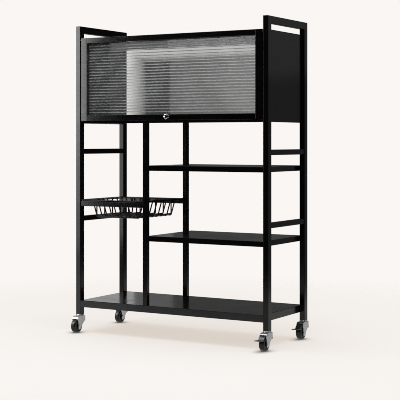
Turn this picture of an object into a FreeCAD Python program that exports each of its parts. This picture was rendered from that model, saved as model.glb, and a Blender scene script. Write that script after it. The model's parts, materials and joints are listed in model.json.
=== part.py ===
import FreeCAD, Part
import math
import os

V = FreeCAD.Vector
os.makedirs("parts", exist_ok=True)

# ---------------------------------------------------------------- dimensions
# Everything is in millimetres.  The model is drawn with its front plane at
# Y = 0 and its left-right centre at X = 0, then moved back by Y_SHIFT so that
# the origin is under the middle of the whole outline.

W = 800.0            # width over the posts
D = 310.0            # depth over the posts
H = 1133.0           # height of the handle rails above the floor

POST_X = 20.0        # post tube, across the front
POST_Y = 25.0        # post tube, front to back
RAIL_Z = 25.0        # handle rail tube height
WALL = 1.2           # tube wall
TUBE_R = 1.6         # outside corner radius of the tubes
POST_Z0 = 68.0       # lower end of the posts

RUNG_X = 16.0        # side rung tube
RUNG_Z = 19.0
RUNG_BOTTOMS = (411.5, 660.0)

MID = 18.0           # square tube of the middle posts
MID_X0 = -105.0      # left face of the middle posts
MID_REAR_Y0 = 277.0  # front face of the rear middle post

BASE_Z0, BASE_Z1 = 94.0, 119.0       # bottom shelf, lip edge and top
SHELF_LO = (349.3, 368.3)            # lower open shelf
SHELF_UP = (601.5, 620.5)            # upper open shelf
SHEET = 1.2                          # folded sheet thickness

CAB_Z0 = 772.5       # lower edge of the cabinet front
CAB_FLOOR = 780.0    # top of the cabinet floor
CAB_TOP = 1088.0     # top of the cabinet
CAB_SHEET = 1.5
REAR_LIP = 22.0      # rear fold of the cabinet top
FLOOR_LIP = 12.0     # rear fold of the cabinet floor, turned up
SIDE_X = 390.0       # outer face of the side panels

DOOR_GAP = 3.0       # door to posts
DOOR_Z0 = 782.0
DOOR_Z1 = 1088.0
DOOR_T = 14.0        # door frame tube depth
STILE_W = 27.0
RAIL_TOP_H = 20.0
RAIL_BOT_H = 21.0
TAPE_T = 0.8
PANE_T = 4.2         # ribbed pane, over the flats of the ribs
RIB_PITCH = 10.6
GROOVE_W = 3.7       # coved groove between two ribs
GROOVE_D = 1.0
PANE_LAP = 4.5       # pane overlap on the frame
PIVOT_Y = 7.0        # door pivot axis
PIVOT_Z = 1081.0
PIN_R = 3.0
RUN_FIT = 0.05       # radial clearance of every running fit

KNOB_Z = 794.5
KNOB_R = 10.0
KNOB_OUT = 15.0

BAR_Z0, BAR_Z1 = 467.8, 486.3        # drawer front bar
ROD_R = 2.8          # drawer rim rod
WIRE_R = 2.4         # drawer wires
ROD_Z = 489.1        # rim rod centre
FLOOR_WIRE_Z = 432.2 # centre of the lengthwise floor wires
RUNNER_T = 1.2
RUNNER_FLANGE_Z = 486.0              # top of the runner flange
BAY_X0, BAY_X1 = -380.0, -105.0      # drawer bay between the posts
BASK_YC = 155.0      # middle of the wire body
BASK_HD = 119.0      # half depth of the wire body
BASK_HW_TOP = 112.0  # half width at the rim
BASK_HW_BOT = 93.0   # half width at the floor
REAR_BAR_Y0 = 281.0
REAR_BAR = (16.0, 471.0, 491.0)      # depth, lower and upper face

WHEEL_R = 25.0
WHEEL_W = 20.0
HUB_R = 17.5
TRAIL = 22.0         # wheel axle in front of the swivel axis
AXLE_R = 3.0
AXLE_HEAD = 2.3      # height of the axle head and of its nut
FORK_IN = 11.2       # half gap between the fork cheeks
FORK_T = 2.0
HEEL = 14.5          # rear edge of the fork behind the swivel axis
HOOD = (-20.0, 49.0) # centre of the rounded front of the fork head
HOOD_R = 11.7        # outer radius of the hood
HOOD_T = 2.3
TOE = 27.5           # front edge of the cheeks beside the axle
PLATE_Z0, PLATE_Z1 = 58.2, 60.7
CUP_R = 14.5
KING_R = 4.0
STEM_R = 5.5
PEDAL_TIP = 77.0     # pedal tip in front of the swivel axis
PEDAL_HW = 10.2      # half width of the shoe, between the cheeks
TREAD_HW = 12.0      # half width of the tread
TREAD_Z = 37.6       # underside of the tread at its root
TREAD_RISE = 2.4     # rise of the tread to its tip
PEDAL_T = 2.3
PEDAL_PIVOT = (-24.0, 53.3)
SHOE_R = 27.8        # inner face of the brake shoe about the axle
TRUNNION_R = 2.0

BOLT_R = 2.5
BOLT_HOLE_R = 2.6
BOLT_HEAD_R = 4.75

CASTERS = {
    "fl": (-W / 2 + POST_X / 2, POST_Y / 2, False),
    "rl": (-W / 2 + POST_X / 2, D - POST_Y / 2, False),
    "fr": (W / 2 - POST_X / 2, POST_Y / 2, True),
    "rr": (W / 2 - POST_X / 2, D - POST_Y / 2, True),
}
FRONT_REACH = PEDAL_TIP - POST_Y / 2
BACK_REACH = HEEL - POST_Y / 2
Y_SHIFT = -(D + BACK_REACH - FRONT_REACH) / 2.0

# ------------------------------------------------------------------- helpers


def out(shape, name):
    s = shape.copy()
    s.translate(V(0, Y_SHIFT, 0))
    s.exportStep("parts/%s.step" % name)
    print("%-24s solids %2d  vol %10.1f  valid %s" % (name, len(s.Solids), s.Volume, s.isValid()))


def box(x0, x1, y0, y1, z0, z1):
    return Part.makeBox(x1 - x0, y1 - y0, z1 - z0, V(x0, y0, z0))


def cyl(r, p, axis, length):
    return Part.makeCylinder(r, length, V(*p), V(*axis))


def rrect_wire(u0, u1, v0, v1, r, to3d):
    """Rounded rectangle in a plane; to3d maps (u, v) to a point."""
    if r <= 0:
        pts = [to3d(u0, v0), to3d(u1, v0), to3d(u1, v1), to3d(u0, v1), to3d(u0, v0)]
        return Part.makePolygon(pts)
    k = r * (1 - math.sqrt(0.5))
    e = []
    e.append(Part.LineSegment(to3d(u0 + r, v0), to3d(u1 - r, v0)).toShape())
    e.append(Part.Arc(to3d(u1 - r, v0), to3d(u1 - k, v0 + k), to3d(u1, v0 + r)).toShape())
    e.append(Part.LineSegment(to3d(u1, v0 + r), to3d(u1, v1 - r)).toShape())
    e.append(Part.Arc(to3d(u1, v1 - r), to3d(u1 - k, v1 - k), to3d(u1 - r, v1)).toShape())
    e.append(Part.LineSegment(to3d(u1 - r, v1), to3d(u0 + r, v1)).toShape())
    e.append(Part.Arc(to3d(u0 + r, v1), to3d(u0 + k, v1 - k), to3d(u0, v1 - r)).toShape())
    e.append(Part.LineSegment(to3d(u0, v1 - r), to3d(u0, v0 + r)).toShape())
    e.append(Part.Arc(to3d(u0, v0 + r), to3d(u0 + k, v0 + k), to3d(u0 + r, v0)).toShape())
    return Part.Wire(e)


def tube(axis, x0, x1, y0, y1, z0, z1, wall=WALL, r=TUBE_R):
    """Rectangular tube with rounded corners, open at both ends."""
    if axis == "z":
        to3d = lambda u, v: V(u, v, z0)
        lim, vec = (x0, x1, y0, y1), V(0, 0, z1 - z0)
    elif axis == "y":
        to3d = lambda u, v: V(u, y0, v)
        lim, vec = (x0, x1, z0, z1), V(0, y1 - y0, 0)
    else:
        to3d = lambda u, v: V(x0, u, v)
        lim, vec = (y0, y1, z0, z1), V(x1 - x0, 0, 0)
    a, b, c, d = lim
    outer = Part.Face(rrect_wire(a, b, c, d, r, to3d)).extrude(vec)
    inner = Part.Face(rrect_wire(a + wall, b - wall, c + wall, d - wall, max(r - wall, 0.4), to3d)).extrude(vec)
    return outer.cut(inner)


def prism_yz(pts, x0, x1):
    w = Part.makePolygon([V(x0, y, z) for y, z in pts] + [V(x0, pts[0][0], pts[0][1])])
    return Part.Face(w).extrude(V(x1 - x0, 0, 0))


def revolve_profile(pts, centre, axis, radial):
    """Closed profile of (radius, height along axis) turned about the axis."""
    c, a, rd = V(*centre), V(*axis), V(*radial)
    p3 = [c + rd * r + a * h for r, h in pts]
    w = Part.makePolygon(p3 + [p3[0]])
    s = Part.Face(w).revolve(c, a, 360)
    if s.ShapeType != "Solid":
        s = Part.Solid(Part.Shell(s.Faces))
    return s


def pipe(points, r, bend):
    """Round rod along straight runs joined by tangent arcs."""
    pts = [V(*p) for p in points]
    edges = []
    cur = pts[0]
    for i in range(1, len(pts) - 1):
        a, b, c = pts[i - 1], pts[i], pts[i + 1]
        u = (a - b).normalize()
        w = (c - b).normalize()
        ang = u.getAngle(w)
        t = bend / math.tan(ang / 2.0)
        p1 = b + u * t
        p2 = b + w * t
        bis = (u + w).normalize()
        mid = b + bis * (bend / math.sin(ang / 2.0) - bend)
        edges.append(Part.LineSegment(cur, p1).toShape())
        edges.append(Part.Arc(p1, mid, p2).toShape())
        cur = p2
    edges.append(Part.LineSegment(cur, pts[-1]).toShape())
    path = Part.Wire(edges)
    d = (pts[1] - pts[0]).normalize()
    prof = Part.Wire(Part.makeCircle(r, pts[0], d))
    s = path.makePipeShell([prof], True, False)
    if s.ShapeType != "Solid":
        s = s.Solids[0]
    return s


def group(shapes):
    solids = []
    for s in shapes:
        solids.extend(s.Solids)
    return Part.makeCompound(solids)


def one(shape):
    """A single solid when the boolean left exactly one."""
    return shape.Solids[0] if len(shape.Solids) == 1 else shape


# ------------------------------------------------- shelves, bolts, bolt holes


def shelf(x0, x1, y0, y1, z0, z1, t=SHEET):
    """Folded tray: a flat top with a lip down on all four sides."""
    body = box(x0, x1, y0, y1, z0, z1)
    keep = []
    for e in body.Edges:
        m = e.BoundBox
        if abs(m.ZMin - z1) < 1e-6:
            keep.append(e)
    body = body.makeFillet(1.5, keep)
    inner = box(x0 + t, x1 - t, y0 + t, y1 - t, z0 - 1, z1 - t)
    return body.cut(inner)


bolt_solids = []
bolt_cuts = []


def bolt(x_face, side, y, z):
    """Button-head screw from inside a lip, through the lip and into a tube.

    x_face is where lip and tube meet; side is +1 when the tube is at +X."""
    head0 = x_face - side * (SHEET + 2.8)
    seat = x_face - side * SHEET
    tip = x_face + side * 8.0
    hx = min(head0, seat)
    head = cyl(BOLT_HEAD_R, (hx, y, z), (1, 0, 0), 2.8)
    # rounded edge of the button head on the free side
    free = [e for e in head.Edges if abs(e.BoundBox.XMin - head0) < 1e-6 and abs(e.BoundBox.XMax - head0) < 1e-6]
    head = head.makeFillet(1.3, free[:1])
    hexa = []
    for k in range(6):
        a = math.radians(60 * k)
        hexa.append(V(head0, y + 1.7 * math.cos(a), z + 1.7 * math.sin(a)))
    sock = Part.Face(Part.makePolygon(hexa + [hexa[0]])).extrude(V(side * 1.6, 0, 0))
    sx = min(seat, tip)
    shank = cyl(BOLT_R, (sx, y, z), (1, 0, 0), abs(tip - seat))
    bolt_solids.append(one(head.cut(sock).fuse(shank).removeSplitter()))
    bolt_cuts.append(cyl(BOLT_HOLE_R, (min(seat - side * 0.5, x_face + side * 3.0), y, z), (1, 0, 0),
                         abs(3.0 + SHEET + 0.5)))


IN_R = W / 2 - POST_X       # inner face of the right posts
IN_L = -IN_R
MID_X1 = MID_X0 + MID
mid_front_yc = MID / 2
mid_rear_yc = MID_REAR_Y0 + MID / 2

zc = (BASE_Z0 + BASE_Z1) / 2 - 1
for yy in (POST_Y / 2, D - POST_Y / 2):
    bolt(IN_R, 1, yy, zc)
    bolt(IN_L, -1, yy, zc)
for lo, hi in (SHELF_LO, SHELF_UP):
    zc = (lo + hi) / 2 - 1
    for yy in (POST_Y / 2, D - POST_Y / 2):
        bolt(IN_R, 1, yy, zc)
    for yy in (mid_front_yc, mid_rear_yc):
        bolt(MID_X1, -1, yy, zc)
all_bolt_holes = Part.makeCompound(bolt_cuts)

base = shelf(IN_L, IN_R, 0, D, BASE_Z0, BASE_Z1).cut(all_bolt_holes)
low = shelf(MID_X1, IN_R, 0, D, *SHELF_LO).cut(all_bolt_holes)
upp = shelf(MID_X1, IN_R, 0, D, *SHELF_UP).cut(all_bolt_holes)
out(one(base), "shelf_base")
out(one(low), "shelf_lower")
out(one(upp), "shelf_upper")
out(group(bolt_solids), "shelf_bolts")

# ------------------------------------------------------------ side frames
# Post tops and handle rail ends are cut at 45 degrees and welded.


def side_frame(sgn, tag):
    x0, x1 = (-W / 2, IN_L) if sgn < 0 else (IN_R, W / 2)
    zi = H - RAIL_Z
    front = tube("z", x0, x1, 0, POST_Y, POST_Z0, H)
    rear = tube("z", x0, x1, D - POST_Y, D, POST_Z0, H)
    rail = tube("y", x0, x1, 0, D, zi, H)
    big = 5.0
    # triangles above the front and rear mitre lines
    tri_f = prism_yz([(-big, H + big), (POST_Y + big, H - POST_Y - big), (POST_Y + big, H + big)], x0 - 1, x1 + 1)
    tri_r = prism_yz([(D + big, H + big), (D - POST_Y - big, H - POST_Y - big), (D - POST_Y - big, H + big)], x0 - 1, x1 + 1)
    front = front.cut(tri_f)
    rear = rear.cut(tri_r)
    low_f = prism_yz([(-big, H + big), (POST_Y + big, H - POST_Y - big), (-big, H - POST_Y - big)], x0 - 1, x1 + 1)
    low_r = prism_yz([(D + big, H + big), (D - POST_Y - big, H - POST_Y - big), (D + big, H - POST_Y - big)], x0 - 1, x1 + 1)
    rail = rail.cut(low_f).cut(low_r)
    # pivot hole for the door pin, in the inner wall of the front post
    xin = x1 if sgn < 0 else x0
    hole = cyl(PIN_R + RUN_FIT, (xin - 3, PIVOT_Y, PIVOT_Z), (1, 0, 0), 6)
    front = front.cut(hole).cut(all_bolt_holes)
    rear = rear.cut(all_bolt_holes)
    out(one(front), "post_front_" + tag)
    out(one(rear), "post_rear_" + tag)
    out(one(rail), "handle_" + tag)
    xm = (x0 + x1) / 2
    rungs = [tube("y", xm - RUNG_X / 2, xm + RUNG_X / 2, POST_Y, D - POST_Y, z, z + RUNG_Z, r=2.0) for z in RUNG_BOTTOMS]
    out(group(rungs), "rungs_" + tag)


side_frame(-1, "left")
side_frame(1, "right")

# ------------------------------------------------------------ middle posts
mf = tube("z", MID_X0, MID_X1, 0, MID, BASE_Z1, CAB_Z0).cut(all_bolt_holes)
mr = tube("z", MID_X0, MID_X1, MID_REAR_Y0, MID_REAR_Y0 + MID, BASE_Z1, CAB_FLOOR - CAB_SHEET).cut(all_bolt_holes)
out(one(mf), "mid_post_front")
out(one(mr), "mid_post_rear")

rb_d, rb_z0, rb_z1 = REAR_BAR
out(one(tube("x", BAY_X0, BAY_X1, REAR_BAR_Y0, REAR_BAR_Y0 + rb_d, rb_z0, rb_z1, r=2.0)), "rear_bar")

# ---------------------------------------------------------------- cabinet


def side_panel(sgn):
    """Sheet between the posts with a flange turned inwards top and bottom."""
    xo = sgn * SIDE_X
    xi = sgn * (SIDE_X - CAB_SHEET)
    xf = sgn * (IN_R - 10.0)
    ya, yb = POST_Y, D - POST_Y
    zf = CAB_FLOOR - CAB_SHEET
    sheet = box(min(xo, xi), max(xo, xi), ya, yb, CAB_Z0 + 0.5, CAB_TOP)
    lo = box(min(xf, xi), max(xf, xi), ya, yb, zf - CAB_SHEET, zf)
    hi = box(min(xf, xi), max(xf, xi), ya, yb, CAB_TOP - 2 * CAB_SHEET, CAB_TOP - CAB_SHEET)
    return one(sheet.fuse([lo, hi]).removeSplitter())


out(side_panel(-1), "side_panel_left")
out(side_panel(1), "side_panel_right")

t = CAB_SHEET
floor_sheet = box(IN_L, IN_R, 0, D, CAB_FLOOR - t, CAB_FLOOR)
floor_lip = box(IN_L, IN_R, 0, SHEET, CAB_Z0, CAB_FLOOR - t)
floor_ret = box(IN_L, IN_R, SHEET, MID, CAB_Z0, CAB_Z0 + SHEET)
floor_up = box(IN_L, IN_R, D - t, D, CAB_FLOOR, CAB_FLOOR + FLOOR_LIP)
out(one(floor_sheet.fuse([floor_lip, floor_ret, floor_up]).removeSplitter()), "cabinet_floor")

TOP_Y0 = 20.0
top_sheet = box(IN_L, IN_R, TOP_Y0, D, CAB_TOP - t, CAB_TOP)
top_front = box(IN_L, IN_R, TOP_Y0, TOP_Y0 + t, CAB_TOP - 12.0, CAB_TOP - t)
top_rear = box(IN_L, IN_R, D - t, D, CAB_TOP - REAR_LIP, CAB_TOP - t)
# the flanges of the side panels pass under the sheet, so the folds stop short of them
ts = top_sheet.fuse([top_front, top_rear]).removeSplitter()
notch = [box(IN_L - 1, IN_L + 11, POST_Y - 6, D - POST_Y + 0.0, CAB_TOP - 13, CAB_TOP - t),
         box(IN_R - 11, IN_R + 1, POST_Y - 6, D - POST_Y + 0.0, CAB_TOP - 13, CAB_TOP - t)]
for n in notch:
    ts = ts.cut(n)
out(one(ts), "cabinet_top")

stops = []
for xx in (-340.0, 340.0):
    b = box(xx - 8, xx + 8, DOOR_T + 0.3, DOOR_T + 9.3, CAB_FLOOR, CAB_FLOOR + 12.0)
    b = b.makeFillet(1.5, [e for e in b.Edges if e.BoundBox.ZMin > CAB_FLOOR + 11.9])
    stops.append(b)
out(group(stops), "door_stops")

# ------------------------------------------------------------------- door
DX = IN_R - DOOR_GAP          # half width of the door
SX = DX - STILE_W             # inner edge of the stiles


def capped(tube_shape, cap_boxes):
    return one(tube_shape.fuse(cap_boxes).removeSplitter())


def stile(sgn):
    xa, xb = (-DX, -SX) if sgn < 0 else (SX, DX)
    s = tube("z", xa, xb, 0, DOOR_T, DOOR_Z0, DOOR_Z1, r=1.6)
    # both ends closed
    c0 = Part.Face(rrect_wire(xa, xb, 0, DOOR_T, 1.6, lambda u, v: V(u, v, DOOR_Z0))).extrude(V(0, 0, WALL))
    c1 = Part.Face(rrect_wire(xa, xb, 0, DOOR_T, 1.6, lambda u, v: V(u, v, DOOR_Z1 - WALL))).extrude(V(0, 0, WALL))
    s = s.fuse([c0, c1]).removeSplitter()
    xo = -DX if sgn < 0 else DX
    hole = cyl(PIN_R, (xo - 3, PIVOT_Y, PIVOT_Z), (1, 0, 0), 6)
    return one(s.cut(hole))


out(stile(-1), "door_stile_left")
out(stile(1), "door_stile_right")
out(one(tube("x", -SX, SX, 0, DOOR_T, DOOR_Z1 - RAIL_TOP_H, DOOR_Z1, r=1.6)), "door_rail_top")
rail_b = tube("x", -SX, SX, 0, DOOR_T, DOOR_Z0, DOOR_Z0 + RAIL_BOT_H, r=1.6)
rail_b = rail_b.cut(cyl(2.1, (0, -1, KNOB_Z), (0, 1, 0), DOOR_T + 2))
out(one(rail_b), "door_rail_bottom")

pins = []
for sgn in (-1, 1):
    xo = sgn * (IN_R + 6.0)          # tip inside the post
    xi = sgn * (DX - 14.0)           # root inside the stile
    pins.append(cyl(PIN_R, (min(xo, xi), PIVOT_Y, PIVOT_Z), (1, 0, 0), abs(xo - xi)))
    # collar that keeps the door central between the posts
pins2 = []
for sgn, p in zip((-1, 1), pins):
    ca = sgn * DX
    cb = sgn * (IN_R - 0.5)
    col = cyl(5.0, (min(ca, cb), PIVOT_Y, PIVOT_Z), (1, 0, 0), abs(cb - ca))
    pins2.append(one(p.fuse(col).removeSplitter()))
out(group(pins2), "door_pivot_pins")

PX = SX + PANE_LAP
PZ0 = DOOR_Z0 + RAIL_BOT_H - PANE_LAP
PZ1 = DOOR_Z1 - RAIL_TOP_H + PANE_LAP
PY0 = DOOR_T + TAPE_T
TW = PANE_LAP - 0.5   # width of the bonding tape
tape = [box(-PX, -PX + TW, DOOR_T, PY0, PZ0, PZ1), box(PX - TW, PX, DOOR_T, PY0, PZ0, PZ1),
        box(-PX + TW, PX - TW, DOOR_T, PY0, PZ0, PZ0 + TW), box(-PX + TW, PX - TW, DOOR_T, PY0, PZ1 - TW, PZ1)]
out(group(tape), "door_pane_tape")

# Ribbed pane: flat at the back and round the bonded margin; over the visible
# field the front has flat horizontal ribs parted by narrow coved grooves.
field0, field1 = PZ0 + PANE_LAP, PZ1 - PANE_LAP
n_rib = int(round((field1 - field0) / RIB_PITCH))
pitch = (field1 - field0) / n_rib
edges = []
y_back = PY0 + PANE_T
start = V(-PX, PY0, PZ0)
here = start
for k in range(1, n_rib):
    zg = field0 + k * pitch
    a = V(-PX, PY0, zg - GROOVE_W / 2)
    b = V(-PX, PY0 + GROOVE_D, zg)
    c = V(-PX, PY0, zg + GROOVE_W / 2)
    edges.append(Part.LineSegment(here, a).toShape())
    edges.append(Part.Arc(a, b, c).toShape())
    here = c
edges.append(Part.LineSegment(here, V(-PX, PY0, PZ1)).toShape())
edges.append(Part.LineSegment(V(-PX, PY0, PZ1), V(-PX, y_back, PZ1)).toShape())
edges.append(Part.LineSegment(V(-PX, y_back, PZ1), V(-PX, y_back, PZ0)).toShape())
edges.append(Part.LineSegment(V(-PX, y_back, PZ0), start).toShape())
pane = Part.Face(Part.Wire(edges)).extrude(V(2 * PX, 0, 0))
out(one(pane), "door_pane")

# Turned knob: foot, waist and domed head
kp = [(2.0, 0.0), (6.0, 0.0), (6.0, 1.2), (4.6, 2.4), (4.1, 4.6), (4.4, 6.6), (6.2, 8.3), (8.9, 9.4), (KNOB_R, 10.6),
      (KNOB_R, 11.8), (9.2, 13.2), (6.6, 14.4), (3.3, KNOB_OUT - 0.05), (0.0, KNOB_OUT), (0.0, 8.2), (2.0, 8.2)]
knob = revolve_profile(kp, (0, 0, KNOB_Z), (0, -1, 0), (0, 0, 1))
out(one(knob), "door_knob")
sc = cyl(2.0, (0, -7.8, KNOB_Z), (0, 1, 0), DOOR_T + 7.8)
sh = cyl(3.6, (0, DOOR_T, KNOB_Z), (0, 1, 0), 2.4)
sh = sh.makeFillet(1.1, [e for e in sh.Edges if e.BoundBox.YMin > DOOR_T + 2.3][:1])
slot1 = box(-0.45, 0.45, DOOR_T + 1.4, DOOR_T + 3, KNOB_Z - 2.0, KNOB_Z + 2.0)
slot2 = box(-2.0, 2.0, DOOR_T + 1.4, DOOR_T + 3, KNOB_Z - 0.45, KNOB_Z + 0.45)
out(one(sc.fuse(sh).removeSplitter().cut(slot1).cut(slot2)), "door_knob_screw")

# ------------------------------------------------------------ wire drawer
BXC = (BAY_X0 + BAY_X1) / 2
bar_x0, bar_x1 = BAY_X0 + 3.0, BAY_X1 - 3.0
bar = tube("x", bar_x0, bar_x1, 0, MID, BAR_Z0, BAR_Z1, r=1.8)
for xa in (bar_x0, bar_x1 - WALL):
    cap = Part.Face(rrect_wire(0, MID, BAR_Z0, BAR_Z1, 1.8, lambda u, v: V(xa, u, v))).extrude(V(WALL, 0, 0))
    bar = bar.fuse(cap)
out(one(bar.removeSplitter()), "basket_front_bar")

rod_xl, rod_xr = BAY_X0 + 6.5, BAY_X1 - 6.5
rod_yf, rod_yb = 8.0, BASK_YC + BASK_HD
rods = [cyl(ROD_R, (rod_xl, rod_yf - ROD_R, ROD_Z), (0, 1, 0), rod_yb + ROD_R - (rod_yf - ROD_R)),
        cyl(ROD_R, (rod_xr, rod_yf - ROD_R, ROD_Z), (0, 1, 0), rod_yb + ROD_R - (rod_yf - ROD_R))]
side_rods = Part.makeCompound(rods)
for yy in (rod_yf, rod_yb):
    c = cyl(ROD_R - 0.1, (rod_xl, yy, ROD_Z - 0.1), (1, 0, 0), rod_xr - rod_xl).cut(side_rods)
    rods.append(max(c.Solids, key=lambda s: s.Volume))
rim = Part.makeCompound([s for r in rods for s in r.Solids])
out(rim, "basket_rim")

slope = (BASK_HW_TOP - BASK_HW_BOT) / (ROD_Z - (FLOOR_WIRE_Z - 2 * WIRE_R))
cross_z = FLOOR_WIRE_Z - 2 * WIRE_R          # crosswise wires lie under the lengthwise ones
cross_y = [BASK_YC + k * 31.4 for k in (-3.5, -2.5, -1.5, -0.5, 0.5, 1.5, 2.5, 3.5)]
long_x = [BXC + k * 35.2 for k in (-2.5, -1.5, -0.5, 0.5, 1.5, 2.5)]
BEND = 6.0


def tangent_len(angle_between, bend):
    return bend / math.tan(angle_between / 2.0)


side_wires = []
floor_wires = []
for yy in cross_y:
    for sgn in (-1, 1):
        rx = rod_xl if sgn < 0 else rod_xr
        p0 = (rx, yy, ROD_Z)
        p1 = (BXC + sgn * BASK_HW_TOP, yy, ROD_Z)
        p2 = (BXC + sgn * BASK_HW_BOT, yy, cross_z)
        u = V(p1[0] - p2[0], 0, p1[2] - p2[2]).normalize()
        w = V(-sgn, 0, 0)
        tl = tangent_len(u.getAngle(w), BEND)
        p3 = (p2[0] - sgn * (tl + 0.01), yy, cross_z)
        wpath = pipe([p0, p1, p2, p3], WIRE_R, BEND)
        wpath = wpath.cut(side_rods)
        side_wires.append(max(wpath.Solids, key=lambda s: s.Volume))
    xe = BASK_HW_BOT - (tl + 0.01)
    floor_wires.append(cyl(WIRE_R, (BXC - xe, yy, cross_z), (1, 0, 0), 2 * xe))
out(group(side_wires), "basket_side_wires")

end_wires = []
for xx in long_x:
    yf, yb = BASK_YC - BASK_HD, BASK_YC + BASK_HD
    tl = BEND
    f = pipe([(xx, rod_yf, ROD_Z), (xx, yf, ROD_Z), (xx, yf, FLOOR_WIRE_Z), (xx, yf + tl + 0.01, FLOOR_WIRE_Z)], WIRE_R, BEND)
    f = f.cut(rim)
    end_wires.append(max(f.Solids, key=lambda s: s.Volume))
    b = pipe([(xx, yb, ROD_Z), (xx, yb, FLOOR_WIRE_Z), (xx, yb - tl - 0.01, FLOOR_WIRE_Z)], WIRE_R, BEND)
    b = b.cut(rim)
    end_wires.append(max(b.Solids, key=lambda s: s.Volume))
    floor_wires.append(cyl(WIRE_R, (xx, yf + tl + 0.01, FLOOR_WIRE_Z), (0, 1, 0), (yb - yf) - 2 * (tl + 0.01)))
out(group(end_wires), "basket_end_wires")
out(group(floor_wires), "basket_floor_wires")


def runner(sgn):
    """Thin angle: web against the posts, flange under the rim rod."""
    if sgn < 0:
        w0, w1, f0, f1 = BAY_X0, BAY_X0 + RUNNER_T, BAY_X0 + RUNNER_T, BAY_X0 + 12.0
    else:
        w0, w1, f0, f1 = BAY_X1 - RUNNER_T, BAY_X1, BAY_X1 - 12.0, BAY_X1 - RUNNER_T
    web = box(w0, w1, 2, REAR_BAR_Y0, RUNNER_FLANGE_Z - RUNNER_T, 492.5)
    fl = box(f0, f1, MID + 2, REAR_BAR_Y0, RUNNER_FLANGE_Z - RUNNER_T, RUNNER_FLANGE_Z)
    return one(web.fuse(fl).removeSplitter())


out(runner(-1), "runner_left")
out(runner(1), "runner_right")

# ---------------------------------------------------------------- casters


def cheek(cy, xa, xb):
    """Pressed fork cheek: flat along the head, rounded down the front, a
    straight toe in front of the axle and a swept heel behind it."""
    pt = lambda y, z: V(xa, cy + y, z)
    hy, hz = HOOD
    k = HOOD_R * math.sqrt(0.5)
    neck = Part.BSplineCurve()
    neck.interpolate(Points=[pt(hy - HOOD_R, hz), pt(-30.3, 44.6), pt(-28.1, 40.6), pt(-TOE, 36.0)],
                     InitialTangent=V(0, 0, -1), FinalTangent=V(0, 0, -1))
    sweep = Part.BSplineCurve()
    sweep.interpolate(Points=[pt(*p) for p in (
        (-TOE, 19.0), (-26.2, 14.8), (-22.6, 12.4), (-18.2, 12.2), (-13.6, 14.4), (-9.6, 18.3), (-6.8, 22.6), (-4.2, 27.2),
        (-0.4, 31.8), (5.2, 36.4), (10.0, 41.2), (13.2, 47.0), (HEEL, 53.0))],
        InitialTangent=V(0, 0, -1), FinalTangent=V(0, 0, 1))
    e = [Part.LineSegment(pt(HEEL, PLATE_Z1), pt(hy, PLATE_Z1)).toShape(),
         Part.Arc(pt(hy, hz + HOOD_R), pt(hy - k, hz + k), pt(hy - HOOD_R, hz)).toShape(), neck.toShape(),
         Part.LineSegment(pt(-TOE, 36.0), pt(-TOE, 19.0)).toShape(), sweep.toShape(),
         Part.LineSegment(pt(HEEL, 53.0), pt(HEEL, PLATE_Z1)).toShape()]
    return Part.Face(Part.Wire(e)).extrude(V(xb - xa, 0, 0))


def fork(cx, cy, pedal):
    w = FORK_IN + FORK_T
    hy, hz = HOOD
    # the hood stops just above the tyre, or above the shoe of the brake pedal
    edge = 54.6 if pedal else 50.6
    shell = cyl(HOOD_R, (cx - w, cy + hy, hz), (1, 0, 0), 2 * w).cut(
        cyl(HOOD_R - HOOD_T, (cx - w, cy + hy, hz), (1, 0, 0), 2 * w))
    shell = shell.common(box(cx - w, cx + w, cy + hy - HOOD_R, cy + hy, edge, hz + HOOD_R))
    s = cheek(cy, cx - w, cx - FORK_IN).fuse([cheek(cy, cx + FORK_IN, cx + w), shell,
                                              box(cx - w, cx + w, cy + hy, cy + HEEL, PLATE_Z0, PLATE_Z1)])
    s = s.removeSplitter()
    # race ring on the head
    ring = Part.makeCylinder(11.2, 0.5, V(cx, cy, PLATE_Z1))
    s = s.fuse(ring)
    s = s.cut(cyl(KING_R + RUN_FIT, (cx, cy, 45), (0, 0, 1), 20))
    s = s.cut(cyl(AXLE_R, (cx - 20, cy - TRAIL, WHEEL_R), (1, 0, 0), 40))
    if pedal:
        s = s.cut(cyl(TRUNNION_R + RUN_FIT, (cx - 20, cy + PEDAL_PIVOT[0], PEDAL_PIVOT[1]), (1, 0, 0), 40))
    return one(s)


def axle(cx, cy):
    L = FORK_IN + FORK_T
    t = AXLE_HEAD
    s = cyl(AXLE_R, (cx - L - t, cy - TRAIL, WHEEL_R), (1, 0, 0), 2 * L + 2 * t)
    hd = cyl(5.0, (cx + L, cy - TRAIL, WHEEL_R), (1, 0, 0), t)
    hd = hd.makeFillet(1.2, [e for e in hd.Edges if e.BoundBox.XMin > cx + L + t - 0.1][:1])
    nut = []
    for k in range(6):
        a = math.radians(60 * k + 30)
        nut.append(V(cx - L - t, cy - TRAIL + 5.2 * math.cos(a), WHEEL_R + 5.2 * math.sin(a)))
    nt = Part.Face(Part.makePolygon(nut + [nut[0]])).extrude(V(t, 0, 0))
    return one(s.fuse([hd, nt]).removeSplitter())


def hub(cx, cy):
    h = WHEEL_W / 2
    b = FORK_IN - 0.3
    # (radius, along axis): bore, long boss, dished web, rim
    pts = [(AXLE_R + RUN_FIT, -b), (6.0, -b), (6.8, -h + 3.4), (12.8, -h + 3.4), (13.6, -h + 0.6), (HUB_R, -h + 0.6),
           (HUB_R, h - 0.6), (13.6, h - 0.6), (12.8, h - 3.4), (6.8, h - 3.4), (6.0, b), (AXLE_R + RUN_FIT, b)]
    return one(revolve_profile(pts, (cx, cy - TRAIL, WHEEL_R), (1, 0, 0), (0, 0, 1)))


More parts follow.
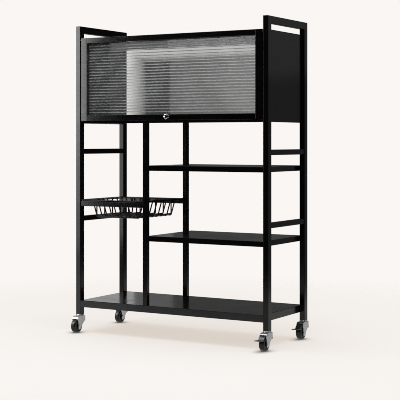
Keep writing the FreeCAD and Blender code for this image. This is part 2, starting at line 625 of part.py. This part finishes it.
def tyre(cx, cy):
    h = WHEEL_W / 2
    pts = [(HUB_R, -h + 0.5), (19.6, -h), (21.4, -h + 0.2), (22.9, -h + 1.1), (24.0, -h + 2.4), (24.7, -h + 4.2),
           (WHEEL_R, -h + 6.4), (WHEEL_R, h - 6.4), (24.7, h - 4.2), (24.0, h - 2.4), (22.9, h - 1.1), (21.4, h - 0.2),
           (19.6, h), (HUB_R, h - 0.5)]
    return one(revolve_profile(pts, (cx, cy - TRAIL, WHEEL_R), (1, 0, 0), (0, 0, 1)))


def pedal(cx, cy):
    """Pressed brake lever: a shoe curved round the tyre between the cheeks,
    hung on two trunnions, and a wider flat tread reaching forward."""
    def about_axle(r, deg):
        t = math.radians(deg)
        return V(cx - PEDAL_HW, cy - TRAIL - r * math.cos(t), WHEEL_R + r * math.sin(t))

    ro = SHOE_R + 2.0
    z0, z1 = TREAD_Z, TREAD_Z + PEDAL_T
    top = math.degrees(math.atan2(PEDAL_PIVOT[1] - WHEEL_R, -TRAIL - PEDAL_PIVOT[0]))
    lo_in = math.degrees(math.asin((z0 - WHEEL_R) / SHOE_R))
    lo_out = math.degrees(math.asin((z1 - WHEEL_R) / ro))
    i0, i1, im = about_axle(SHOE_R, top), about_axle(SHOE_R, lo_in), about_axle(SHOE_R, (top + lo_in) / 2)
    o0, o1, om = about_axle(ro, top), about_axle(ro, lo_out), about_axle(ro, (top + lo_out) / 2)
    e = [Part.Arc(i0, im, i1).toShape(), Part.LineSegment(i1, o1).toShape(), Part.Arc(o1, om, o0).toShape(),
         Part.LineSegment(o0, i0).toShape()]
    shoe = Part.Face(Part.Wire(e)).extrude(V(2 * PEDAL_HW, 0, 0))
    # tread: starts inside the foot of the shoe and rises a little to its tip
    ya = i1.y - cy - 0.4
    tip = -PEDAL_TIP
    at = lambda y, z: V(cx - TREAD_HW, cy + y, z)
    q0, q1 = at(ya, z0 + 0.1), at(ya, z1 - 0.1)
    t0, tm, t1 = at(tip + 0.9, z0 + TREAD_RISE), at(tip, (z0 + z1) / 2 + TREAD_RISE), at(tip + 0.9, z1 + TREAD_RISE)
    e = [Part.LineSegment(q0, t0).toShape(), Part.Arc(t0, tm, t1).toShape(), Part.LineSegment(t1, q1).toShape(),
         Part.LineSegment(q1, q0).toShape()]
    tread = Part.Face(Part.Wire(e)).extrude(V(2 * TREAD_HW, 0, 0))
    trim = Part.Face(rrect_wire(cx - TREAD_HW, cx + TREAD_HW, cy - PEDAL_TIP, cy + 10.0, 4.0,
                                lambda u, v: V(u, v, 20.0))).extrude(V(0, 0, 40.0))
    tread = tread.common(trim)
    boss = cyl(2.5, (cx - PEDAL_HW, cy + PEDAL_PIVOT[0], PEDAL_PIVOT[1]), (1, 0, 0), 2 * PEDAL_HW)
    w = FORK_IN + FORK_T + 0.2
    pin = cyl(TRUNNION_R, (cx - w, cy + PEDAL_PIVOT[0], PEDAL_PIVOT[1]), (1, 0, 0), 2 * w)
    # two grip ridges pressed up across the tread
    ridges = []
    for yy in (-67.0, -71.5):
        zt = z1 + TREAD_RISE * (ya - yy) / (ya - tip - 0.9)
        ridges.append(cyl(0.9, (cx - 8.5, cy + yy, zt), (1, 0, 0), 17.0))
    return one(shoe.fuse([tread, boss, pin] + ridges).removeSplitter())


cups, stems, plugs = [], [], []
for tag, (cx, cy, has_pedal) in CASTERS.items():
    out(fork(cx, cy, has_pedal), "caster_fork_" + tag)
    out(axle(cx, cy), "caster_axle_" + tag)
    out(hub(cx, cy), "caster_hub_" + tag)
    out(tyre(cx, cy), "caster_tyre_" + tag)
    if has_pedal:
        out(pedal(cx, cy), "brake_pedal_" + tag)
    # fixed race cup with its kingpin and rivet head
    cup_pts = [(0, 54.4), (6.4, 54.4), (6.4, 56.6), (5.4, 57.9), (KING_R, 57.9), (KING_R, 61.5), (CUP_R - 1.2, 61.5),
               (CUP_R - 0.3, 61.9), (CUP_R, 62.8), (CUP_R - 0.1, 64.2), (CUP_R - 1.0, 65.4), (CUP_R - 2.6, 66.0),
               (0, 66.0)]
    cups.append(one(revolve_profile(cup_pts, (cx, cy, 0), (0, 0, 1), (1, 0, 0))))
    stems.append(Part.makeCylinder(STEM_R, 34.0, V(cx, cy, 66.0)))
    fl = box(cx - POST_X / 2, cx + POST_X / 2, cy - POST_Y / 2, cy + POST_Y / 2, 66.0, POST_Z0)
    fl = fl.makeFillet(TUBE_R, [e for e in fl.Edges if e.BoundBox.ZLength > 1])
    ins = box(cx - POST_X / 2 + WALL + 0.1, cx + POST_X / 2 - WALL - 0.1, cy - POST_Y / 2 + WALL + 0.1,
              cy + POST_Y / 2 - WALL - 0.1, POST_Z0, POST_Z0 + 20.0)
    ins = ins.makeFillet(1.2, [e for e in ins.Edges if e.BoundBox.ZLength > 1])
    plug = fl.fuse(ins).removeSplitter().cut(cyl(STEM_R, (cx, cy, 60), (0, 0, 1), 60))
    plugs.append(one(plug))
out(group(cups), "caster_cups")
out(group(stems), "caster_stems")
out(group(plugs), "post_plugs")
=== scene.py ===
import json
import math

import bpy
from mathutils import Matrix, Vector

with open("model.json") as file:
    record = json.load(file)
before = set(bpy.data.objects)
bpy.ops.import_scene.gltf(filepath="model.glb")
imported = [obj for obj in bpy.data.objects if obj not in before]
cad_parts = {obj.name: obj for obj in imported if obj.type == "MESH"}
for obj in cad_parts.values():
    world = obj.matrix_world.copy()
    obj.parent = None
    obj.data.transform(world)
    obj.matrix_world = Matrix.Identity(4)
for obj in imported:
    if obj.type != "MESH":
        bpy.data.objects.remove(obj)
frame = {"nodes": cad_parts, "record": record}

NODES = frame["nodes"]
SLOT_OF = {p["node"]: p["material_slot"] for p in frame["record"]["subparts"]}
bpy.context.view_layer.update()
scene = bpy.context.scene

# ---------------------------------------------------------------- camera
# Level camera (no tilt), so that uprights stay upright; the frame is shifted
# down instead.
cam_data = bpy.data.cameras.new("camera")
cam_data.sensor_width = 36.0
cam_data.lens = 107.65
cam_data.shift_x = 0.0
cam_data.shift_y = -0.14737
cam_data.clip_end = 100.0
cam = bpy.data.objects.new("camera", cam_data)
cam.location = (2.240694, -3.720343, 0.708)
cam.rotation_euler = (math.pi / 2, 0.0, math.radians(30.365))
scene.collection.objects.link(cam)
scene.camera = cam

scene.view_settings.view_transform = "Standard"
scene.view_settings.look = "None"
scene.view_settings.exposure = 0.0
scene.view_settings.gamma = 1.0
scene.cycles.use_denoising = True
scene.cycles.filter_width = 0.9
scene.cycles.max_bounces = 14
scene.cycles.transmission_bounces = 12
scene.cycles.transparent_max_bounces = 12
scene.cycles.glossy_bounces = 6
scene.cycles.diffuse_bounces = 4
scene.cycles.sample_clamp_indirect = 6.0

BACKDROP = (0.956, 0.921, 0.896)
FRONT_ROOM, RIGHT_WALL, LEFT_WALL, CEILING = 0.006, 0.025, 0.085, 0.55
SEEN_THROUGH = 0.06
STRIP_SEEN, BAND_SEEN, WALL_SEEN = 1.10, 0.76, (0.008, 0.118, 0.13)
GROOVE_SATIN = 0.40


# ---------------------------------------------------------------- node helpers
class Graph:
    """A small builder for one material's or world's node tree."""

    def __init__(self, owner):
        owner.use_nodes = True
        self.owner = owner
        self.tree = owner.node_tree
        self.tree.nodes.clear()

    def node(self, kind, ins=None, **props):
        n = self.tree.nodes.new(kind)
        for k, v in props.items():
            setattr(n, k, v)
        for k, v in (ins or {}).items():
            self.set(n, k, v)
        return n

    def set(self, n, k, v):
        socket = n.inputs[k]
        if isinstance(v, bpy.types.NodeSocket):
            self.tree.links.new(v, socket)
        elif isinstance(v, bpy.types.Node):
            self.tree.links.new(v.outputs[0], socket)
        else:
            socket.default_value = v

    def maths(self, op, a, b=None, clamp=False):
        n = self.node("ShaderNodeMath", operation=op, use_clamp=clamp)
        self.set(n, 0, a)
        if b is not None:
            self.set(n, 1, b)
        return n.outputs[0]

    def noise(self, vector, scale, detail=3.0, rough=0.5, distortion=0.0):
        n = self.node(
            "ShaderNodeTexNoise",
            {
                "Vector": vector,
                "Scale": scale,
                "Detail": detail,
                "Roughness": rough,
                "Distortion": distortion,
            },
        )
        return n.outputs["Fac"]

    def remap(self, value, a, b, lo, hi, kind="SMOOTHSTEP"):
        n = self.node(
            "ShaderNodeMapRange",
            {"From Min": a, "From Max": b, "To Min": lo, "To Max": hi},
            interpolation_type=kind,
        )
        self.set(n, "Value", value)
        return n.outputs["Result"]

    def mix(self, fac, a, b, blend="MIX"):
        n = self.node("ShaderNodeMix", data_type="RGBA", blend_type=blend)
        for i, v in ((0, fac), (6, a), (7, b)):
            self.set(n, i, v)
        return n.outputs[2]

    def bump(self, height, strength, distance, normal=None):
        n = self.node(
            "ShaderNodeBump",
            {"Height": height, "Strength": strength, "Distance": distance},
        )
        if normal is not None:
            self.set(n, "Normal", normal)
        return n.outputs["Normal"]

    def place(self, scale=(1, 1, 1), rotation=(0, 0, 0)):
        """Object coordinates, in metres, stretched by scale."""
        c = self.node("ShaderNodeTexCoord")
        m = self.node("ShaderNodeMapping", {"Vector": c.outputs["Object"]})
        m.inputs["Scale"].default_value = scale
        m.inputs["Rotation"].default_value = rotation
        return m.outputs["Vector"]

    def edges(self, radius=0.0012):
        """1 along convex and concave edges, 0 on open faces."""
        bevel = self.node("ShaderNodeBevel", {"Radius": radius}, samples=4)
        geo = self.node("ShaderNodeNewGeometry")
        dot = self.node("ShaderNodeVectorMath", operation="DOT_PRODUCT")
        self.set(dot, 0, bevel.outputs[0])
        self.set(dot, 1, geo.outputs["Normal"])
        return self.remap(dot.outputs["Value"], 0.995, 0.86, 0.0, 1.0)


def material(name):
    m = bpy.data.materials.new(name)
    return m, Graph(m)


def surface(g, **ins):
    p = g.node("ShaderNodeBsdfPrincipled")
    for k, v in ins.items():
        g.set(p, k.replace("_", " "), v)
    out = g.node("ShaderNodeOutputMaterial")
    g.tree.links.new(p.outputs[0], out.inputs["Surface"])
    return p


# ---------------------------------------------------------------- materials
def powder_coat(name, base, rough, peel=0.16, smudge=0.06, wear=0.5, wave=0.0):
    """Black powder coat: orange-peel skin, faint handling marks, dust flecks
    and slightly polished edges."""
    m, g = material(name)
    p = g.place()
    skin = g.noise(p, 620.0, 3.0, 0.55)
    grit = g.noise(p, 2600.0, 2.0, 0.6)
    cloud = g.noise(p, 7.0, 4.0, 0.55, 0.4)
    rub = g.noise(g.place((3.0, 3.0, 22.0)), 4.0, 5.0, 0.6)
    edge = g.edges(0.0011)
    worn = g.maths("MULTIPLY", edge, g.remap(g.noise(p, 55.0, 4.0, 0.7), 0.42, 0.72, 0.15, 1.0))
    worn = g.maths("MULTIPLY", worn, wear)

    dark = tuple(c * 0.82 for c in base) + (1.0,)
    light = tuple(c * 1.22 for c in base) + (1.0,)
    colour = g.mix(g.remap(cloud, 0.32, 0.70, 0.0, 1.0), dark, light)
    fleck = g.remap(g.noise(p, 430.0, 1.0, 0.5), 0.735, 0.80, 0.0, 0.30)
    colour = g.mix(fleck, colour, (0.06, 0.059, 0.057, 1.0))
    colour = g.mix(worn, colour, (0.022, 0.0215, 0.021, 1.0))

    r = g.remap(cloud, 0.30, 0.72, rough - smudge * 0.4, rough + smudge * 0.5)
    r = g.maths("ADD", r, g.remap(rub, 0.40, 0.70, -smudge * 0.35, smudge * 0.45))
    r = g.maths("ADD", r, g.remap(skin, 0.3, 0.7, -0.02, 0.03))
    r = g.maths("SUBTRACT", r, g.maths("MULTIPLY", worn, 0.08), clamp=True)

    n = g.bump(skin, peel, 0.00035)
    n = g.bump(grit, peel * 0.5, 0.00008, n)
    if wave:
        n = g.bump(g.noise(g.place((1.0, 1.0, 1.0)), 3.4, 1.0, 0.4), wave, 0.004, n)
    surface(g, Base_Color=colour, Roughness=r, Normal=n, IOR=1.46)
    return m


def dip_coat(name, base, rough):
    """Thick dipped coating on wire and rod: glossy, with sags and small runs."""
    m, g = material(name)
    p = g.place()
    sag = g.noise(g.place((1.0, 1.0, 0.35)), 210.0, 3.0, 0.55)
    fine = g.noise(p, 1500.0, 2.0, 0.5)
    cloud = g.noise(p, 16.0, 3.0, 0.5)
    colour = g.mix(
        g.remap(cloud, 0.3, 0.7, 0.0, 1.0),
        tuple(c * 0.8 for c in base) + (1.0,),
        tuple(c * 1.3 for c in base) + (1.0,),
    )
    r = g.remap(sag, 0.3, 0.7, rough - 0.05, rough + 0.07)
    n = g.bump(sag, 0.30, 0.0005)
    n = g.bump(fine, 0.10, 0.00008, n)
    surface(g, Base_Color=colour, Roughness=r, Normal=n, IOR=1.5)
    return m


def plated(name, base, rough, scratch=0.5, stain=0.5, brushed=0.0):
    """Bright plated metal: hairline scratches, faint clouding, patches of grime."""
    m, g = material(name)
    p = g.place()
    cloud = g.noise(p, 90.0, 4.0, 0.6, 0.6)
    hair_a = g.noise(g.place((60.0, 900.0, 900.0), (0.3, 0.2, 0.9)), 3.0, 2.0, 0.6)
    hair_b = g.noise(g.place((900.0, 70.0, 900.0), (0.7, 0.1, 0.2)), 3.0, 2.0, 0.6)
    hair = g.maths("MAXIMUM", g.remap(hair_a, 0.62, 0.74, 0, 1), g.remap(hair_b, 0.63, 0.74, 0, 1))
    grime = g.remap(g.noise(p, 38.0, 5.0, 0.65), 0.52, 0.74, 0.0, stain)
    colour = g.mix(
        g.remap(cloud, 0.3, 0.7, 0.0, 1.0),
        tuple(c * 0.9 for c in base) + (1.0,),
        tuple(min(1.0, c * 1.06) for c in base) + (1.0,),
    )
    colour = g.mix(grime, colour, tuple(c * 0.55 for c in base) + (1.0,))
    r = g.remap(cloud, 0.3, 0.7, rough * 0.75, rough * 1.35)
    r = g.maths("ADD", r, g.maths("MULTIPLY", hair, 0.12 * scratch))
    r = g.maths("ADD", r, g.maths("MULTIPLY", grime, 0.18), clamp=True)
    n = g.bump(hair, 0.12 * scratch, 0.00004)
    n = g.bump(g.noise(p, 520.0, 2.0, 0.5), 0.05 + brushed, 0.00006, n)
    surface(g, Base_Color=colour, Roughness=r, Normal=n, Metallic=1.0)
    return m


def moulded(name, base, rough, grain=900.0, depth=0.18, dust=0.25):
    """Moulded rubber or plastic: fine grain, scattered patches of dust."""
    m, g = material(name)
    p = g.place()
    fine = g.noise(p, grain, 3.0, 0.6)
    cloud = g.noise(p, 45.0, 4.0, 0.6)
    scuff = g.remap(g.noise(g.place((1.0, 4.0, 4.0)), 120.0, 4.0, 0.7), 0.56, 0.74, 0.0, dust)
    colour = g.mix(
        g.remap(cloud, 0.3, 0.7, 0.0, 1.0),
        tuple(c * 0.8 for c in base) + (1.0,),
        tuple(c * 1.25 for c in base) + (1.0,),
    )
    colour = g.mix(scuff, colour, (0.11, 0.105, 0.10, 1.0))
    r = g.remap(cloud, 0.3, 0.7, rough - 0.06, rough + 0.08)
    r = g.maths("ADD", r, g.maths("MULTIPLY", scuff, 0.15), clamp=True)
    n = g.bump(fine, depth, 0.00025)
    n = g.bump(cloud, 0.06, 0.0006, n)
    surface(g, Base_Color=colour, Roughness=r, Normal=n, IOR=1.5)
    return m


def ribbed_pane(name):
    """Grey-tinted rolled sheet: the ribs are in the mesh, the skin has the
    faint draw lines and ripple of rolled sheet."""
    m, g = material(name)
    p = g.place()
    draw = g.noise(g.place((2.0, 1.0, 160.0)), 5.0, 3.0, 0.5)
    ripple = g.noise(p, 24.0, 2.0, 0.5)
    haze = g.noise(p, 9.0, 4.0, 0.6)
    colour = g.mix(
        g.remap(haze, 0.3, 0.7, 0.0, 1.0),
        (0.66, 0.668, 0.665, 1.0),
        (0.74, 0.744, 0.74, 1.0),
    )
    r = g.remap(haze, 0.3, 0.7, 0.012, 0.030)
    # the coved grooves between the flat ribs are satin, not polished
    geo = g.node("ShaderNodeNewGeometry")
    upright = g.node("ShaderNodeSeparateXYZ", {0: geo.outputs["Normal"]})
    groove = g.remap(g.maths("ABSOLUTE", upright.outputs["Z"]), 0.12, 0.50, 0.0, 1.0)
    r = g.maths("ADD", r, g.maths("MULTIPLY", groove, 0.34))
    n = g.bump(draw, 0.04, 0.0003)
    n = g.bump(ripple, 0.03, 0.0005, n)
    surface(
        g,
        Base_Color=colour,
        Roughness=r,
        Normal=n,
        IOR=1.49,
        Transmission_Weight=g.maths("SUBTRACT", 0.945, g.maths("MULTIPLY", groove, GROOVE_SATIN)),
    )
    return m


MATERIALS = {
    "frame_black": powder_coat("frame_powder_coat", (0.0030, 0.0030, 0.0029), 0.17),
    "panel_black": powder_coat("sheet_powder_coat", (0.0046, 0.0046, 0.0045), 0.20, wave=0.06),
    "door_black": powder_coat("door_powder_coat", (0.0030, 0.0030, 0.0029), 0.16),
    "wire_black": dip_coat("wire_dip_coat", (0.0044, 0.0044, 0.0043), 0.20),
    "ribbed_pane": ribbed_pane("ribbed_pane"),
    "tape_black": moulded("foam_tape", (0.012, 0.012, 0.012), 0.75, 1400.0, 0.4, 0.1),
    "stop_rubber": moulded("stop_rubber", (0.018, 0.018, 0.018), 0.68, 1100.0, 0.3),
    "knob_chrome": plated("knob_chrome", (0.80, 0.80, 0.81), 0.07, 0.5, 0.1),
    "steel_fasteners": plated("fastener_zinc", (0.34, 0.34, 0.35), 0.32, 0.8, 0.5, 0.05),
    "plug_black": moulded("plug_plastic", (0.016, 0.016, 0.016), 0.46, 900.0, 0.15),
    "caster_zinc": plated("caster_plate", (0.66, 0.66, 0.67), 0.27, 0.9, 0.45, 0.03),
    "pedal_zinc": plated("pedal_plate", (0.16, 0.16, 0.163), 0.30, 1.0, 0.6, 0.05),
    "wheel_hub": moulded("hub_plastic", (0.006, 0.006, 0.0062), 0.34, 1100.0, 0.12, 0.12),
    "wheel_tyre": moulded("tyre_rubber", (0.006, 0.006, 0.006), 0.30, 800.0, 0.10, 0.12),
}

for name, obj in NODES.items():
    mat = MATERIALS[SLOT_OF[name]]
    obj.data.materials.clear()
    obj.data.materials.append(mat)


# ---------------------------------------------------------------- the stage
def link(obj):
    scene.collection.objects.link(obj)
    return obj


def card(name, centre, normal, width, height, strength, colour=(1, 1, 1), up=(0, 0, 1), spread=180.0):
    """A rectangular soft light that faces along normal."""
    d = bpy.data.lights.new(name, "AREA")
    d.shape = "RECTANGLE"
    d.size = width
    d.size_y = height
    d.energy = strength * width * height * math.pi
    d.color = colour
    d.spread = math.radians(spread)
    o = link(bpy.data.objects.new(name, d))
    z = -Vector(normal).normalized()
    x = Vector(up).cross(z).normalized()
    y = z.cross(x)
    o.matrix_world = Matrix(
        (
            (x[0], y[0], z[0], centre[0]),
            (x[1], y[1], z[1], centre[1]),
            (x[2], y[2], z[2], centre[2]),
            (0, 0, 0, 1),
        )
    )
    o.visible_camera = False
    return o


# The floor is a pale sheet that runs out softly into the backdrop.
def floor():
    size, step = 9.0, 24
    me = bpy.data.meshes.new("floor")
    vs, fs = [], []
    for i in range(step + 1):
        for j in range(step + 1):
            vs.append((-size + 2 * size * i / step, -size + 2 * size * j / step, 0.0))
    for i in range(step):
        for j in range(step):
            a = i * (step + 1) + j
            fs.append((a, a + step + 1, a + step + 2, a + 1))
    me.from_pydata(vs, [], fs)
    o = link(bpy.data.objects.new("floor", me))
    m, g = material("floor_sheet")
    c = g.node("ShaderNodeTexCoord")
    paper = g.noise(c.outputs["Object"], 900.0, 2.0, 0.5)
    dist = g.node("ShaderNodeVectorMath", operation="LENGTH")
    g.set(dist, 0, c.outputs["Object"])
    fade = g.remap(dist.outputs["Value"], 1.0, 2.1, 0.0, 1.0)
    # painted contact shadow: ambient occlusion fades the floor sheet towards black under the wheels and
    # close to the stand
    near = g.node("ShaderNodeAmbientOcclusion", {"Distance": 0.045}, samples=12)
    painted_contact_shadow = g.remap(near.outputs["AO"], 0.35, 0.98, 0.16, 1.0)
    diff = g.node(
        "ShaderNodeBsdfDiffuse",
        {"Color": FLOOR_ALBEDO + (1.0,), "Normal": g.bump(paper, 0.03, 0.0004)},
    )
    glow = g.node("ShaderNodeEmission", {"Color": FLOOR_GLOW + (1.0,), "Strength": 1.0})
    sheet = g.node("ShaderNodeAddShader")
    g.set(sheet, 0, diff)
    g.set(sheet, 1, glow)
    # the sheet is a dim grey to everything but the eye
    dim = g.node("ShaderNodeEmission", {"Color": (1.0, 0.99, 0.98, 1.0), "Strength": FLOOR_MIRRORED})
    path = g.node("ShaderNodeLightPath")
    add = g.node("ShaderNodeMixShader")
    g.set(add, 0, path.outputs["Is Camera Ray"])
    g.set(add, 1, dim)
    dark = g.node("ShaderNodeEmission", {"Color": (0.0, 0.0, 0.0, 1.0), "Strength": 0.0})
    sheet_with_painted_shadow = g.node("ShaderNodeMixShader")
    g.set(sheet_with_painted_shadow, 0, painted_contact_shadow)
    g.set(sheet_with_painted_shadow, 1, dark)
    g.set(sheet_with_painted_shadow, 2, sheet)
    g.set(add, 2, sheet_with_painted_shadow)
    clear = g.node("ShaderNodeBsdfTransparent")
    mix = g.node("ShaderNodeMixShader")
    g.set(mix, 0, fade)
    g.set(mix, 1, add)
    g.set(mix, 2, clear)
    out = g.node("ShaderNodeOutputMaterial")
    g.tree.links.new(mix.outputs[0], out.inputs["Surface"])
    me.materials.append(m)
    return o


FLOOR_ALBEDO = (0.436, 0.486, 0.543)
FLOOR_GLOW = (0.692, 0.627, 0.564)
FLOOR_MIRRORED = 0.50
floor()


def receivers(obj, name, nodes):
    """Limit a light to the named pieces."""
    col = bpy.data.collections.new(name)
    for n in nodes:
        col.objects.link(NODES[n])
    obj.light_linking.receiver_collection = col


COATED = [n for n in NODES if n != "door_pane"]
PANE = ["door_pane"]
FAR = [n for n in COATED if n.startswith(("mid_post", "post_rear", "basket", "door_rail_bottom"))]
NEAR = [n for n in COATED if n not in FAR and not n.startswith(("shelf", "cabinet_floor"))]

# Studio: a dark room in front, dim walls at the back, a soft ceiling.
world = bpy.data.worlds.new("studio")
scene.world = world
g = Graph(world)
coord = g.node("ShaderNodeTexCoord")
path = g.node("ShaderNodeLightPath")
sep = g.node("ShaderNodeSeparateXYZ", {0: coord.outputs["Generated"]})


def toward(direction, a, b, lo, hi):
    n = g.node("ShaderNodeVectorMath", operation="DOT_PRODUCT")
    g.set(n, 0, coord.outputs["Generated"])
    n.inputs[1].default_value = Vector(direction).normalized()
    return g.remap(n.outputs["Value"], a, b, lo, hi)


level = g.maths("ADD", toward((0.50, 0.86, 0.0), 0.1, 0.95, FRONT_ROOM, RIGHT_WALL), toward((-0.62, 0.78, 0.05), 0.55, 0.98, 0.0, LEFT_WALL))
level = g.maths("ADD", level, g.remap(sep.outputs["Z"], 0.30, 1.0, 0.0, CEILING))
studio = g.node("ShaderNodeBackground", {"Color": (1.0, 0.985, 0.97, 1.0), "Strength": level})
through = g.node("ShaderNodeBackground", {"Color": (1.0, 0.99, 0.98, 1.0), "Strength": SEEN_THROUGH})
plain = g.node("ShaderNodeBackground", {"Color": BACKDROP + (1.0,), "Strength": 1.0})
first = g.node("ShaderNodeMixShader")
g.set(first, 0, path.outputs["Is Transmission Ray"])
g.set(first, 1, studio)
g.set(first, 2, through)
pick = g.node("ShaderNodeMixShader")
g.set(pick, 0, path.outputs["Is Camera Ray"])
g.set(pick, 1, first)
g.set(pick, 2, plain)
wout = g.node("ShaderNodeOutputWorld")
g.tree.links.new(pick.outputs[0], wout.inputs["Surface"])

# Overhead softbox, tall strips in front on the left, a low screen at the back.
card("overhead", (0.1, -0.35, 2.6), (0, 0.05, -1), 2.4, 1.8, 1.9, (0.93, 0.97, 1.0), up=(0, 1, 0))
for name, x0, x1, y, z0, z1, power, nodes in (
    ("strip_1", -2.2, -0.915, -0.906, 0.80, 2.0, 1.9, NEAR),
    ("strip_2", -2.2, -0.915, -0.909, 0.62, 2.0, 1.8, NEAR),
    ("strip_3", -2.2, -0.915, -0.912, 0.42, 2.0, 1.3, NEAR),
    ("strip_4", -2.2, -0.915, -0.915, 0.22, 2.0, 1.2, NEAR),
    ("strip_5", -2.2, -0.915, -0.918, 0.03, 2.0, 1.1, NEAR),
    ("strip_far", -2.2, -0.925, -0.921, 0.22, 2.0, 2.25, FAR),
):
    o = card(name, ((x0 + x1) / 2, y, (z0 + z1) / 2), (0, 1, 0), x1 - x0, z1 - z0, power)
    receivers(o, name + "_on", nodes)
# Cards that overlap stand a few millimetres apart, so that each is mirrored.
for name, x0, x1, y, z0, z1, power in (
    ("screen_left", -2.2, -0.72, 0.750, 0.0, 0.75, 0.45),
    ("screen_mid", -2.2, -0.52, 0.756, 0.0, 0.75, 0.12),
    ("screen_right", 0.62, 2.4, 0.762, 0.0, 2.2, 0.08),
    ("screen_high", 0.62, 2.4, 0.768, 0.98, 2.2, 0.10),
):
    o = card(name, ((x0 + x1) / 2, y, (z0 + z1) / 2), (0, -1, 0), x1 - x0, z1 - z0, power)
    receivers(o, name + "_on", COATED)
# the pale floor in front, as the lowest front faces mirror it
for name, x1, z, power in (("floor_glow", 0.35, 0.004, 0.20), ("floor_glow_left", -0.50, 0.006, 0.45)):
    o = card(name, ((x1 - 1.85) / 2, -0.70, z), (0, 0, 1), x1 + 1.85, 1.0, power, up=(0, 1, 0))
    receivers(o, name + "_on", ["shelf_base", "post_front_left"])
o = card("overhead_pane", (-0.1, -0.62, 1.9), (0, 0.45, -1), 2.6, 0.9, 1.35, (0.97, 0.99, 1.0), up=(0, 1, 0))
receivers(o, "overhead_pane_on", PANE)

# Soft veils that only the pane mirrors, each wider than it needs to be on the
# right.
for name, x0, x1, y, z0, z1, power in (
    ("veil_low", -0.8076, 0.4, -0.900, 0.45, 1.109, 0.20),
    ("veil_high", -0.8076, 0.4, -0.900, 1.109, 1.60, 1.10),
    ("veil_high_right", -0.4976, 0.4, -0.894, 1.109, 1.60, 1.50),
):
    o = card(name, ((x0 + x1) / 2, y, (z0 + z1) / 2), (0, 1, 0), x1 - x0, z1 - z0, power)
    receivers(o, name + "_on", PANE)


def lantern(name, corners, level_of):
    """A glowing sheet behind the cabinet that shows only through the pane."""
    me = bpy.data.meshes.new(name)
    me.from_pydata(corners, [], [(0, 1, 2, 3)])
    o = link(bpy.data.objects.new(name, me))
    m, gg = material(name)
    c = gg.node("ShaderNodeTexCoord")
    s = gg.node("ShaderNodeSeparateXYZ", {0: c.outputs["Object"]})
    glow = gg.node("ShaderNodeEmission", {"Color": (1.0, 0.985, 0.97, 1.0)})
    gg.set(glow, "Strength", level_of(gg, s.outputs["X"], s.outputs["Z"]))
    out = gg.node("ShaderNodeOutputMaterial")
    gg.tree.links.new(glow.outputs[0], out.inputs["Surface"])
    m.cycles.emission_sampling = "NONE"
    me.materials.append(m)
    o.visible_camera = False
    o.visible_diffuse = False
    o.visible_glossy = False
    o.visible_shadow = False
    o.visible_volume_scatter = False
    return o


def behind(gg, x, z):
    rise = gg.remap(x, -0.766, -0.757, 0.0, 1.0)
    fall = gg.remap(x, -0.757, -0.652, 1.0, 0.0, "LINEAR")
    strip = gg.maths("MULTIPLY", gg.maths("MULTIPLY", rise, fall), STRIP_SEEN)
    band = gg.remap(z, 1.050, 1.096, 0.0, BAND_SEEN)
    wall = gg.remap(x, -0.536, -0.526, WALL_SEEN[0], WALL_SEEN[1], "LINEAR")
    wall = gg.maths("ADD", wall, gg.remap(x, -0.42, -0.15, 0.0, WALL_SEEN[2], "LINEAR"))
    return gg.maths("MAXIMUM", gg.maths("MAXIMUM", strip, band), wall)


lantern("lantern_back", [(-1.3, 0.75, -0.6), (0.5, 0.75, -0.6), (0.5, 0.75, 2.6), (-1.3, 0.75, 2.6)], behind)
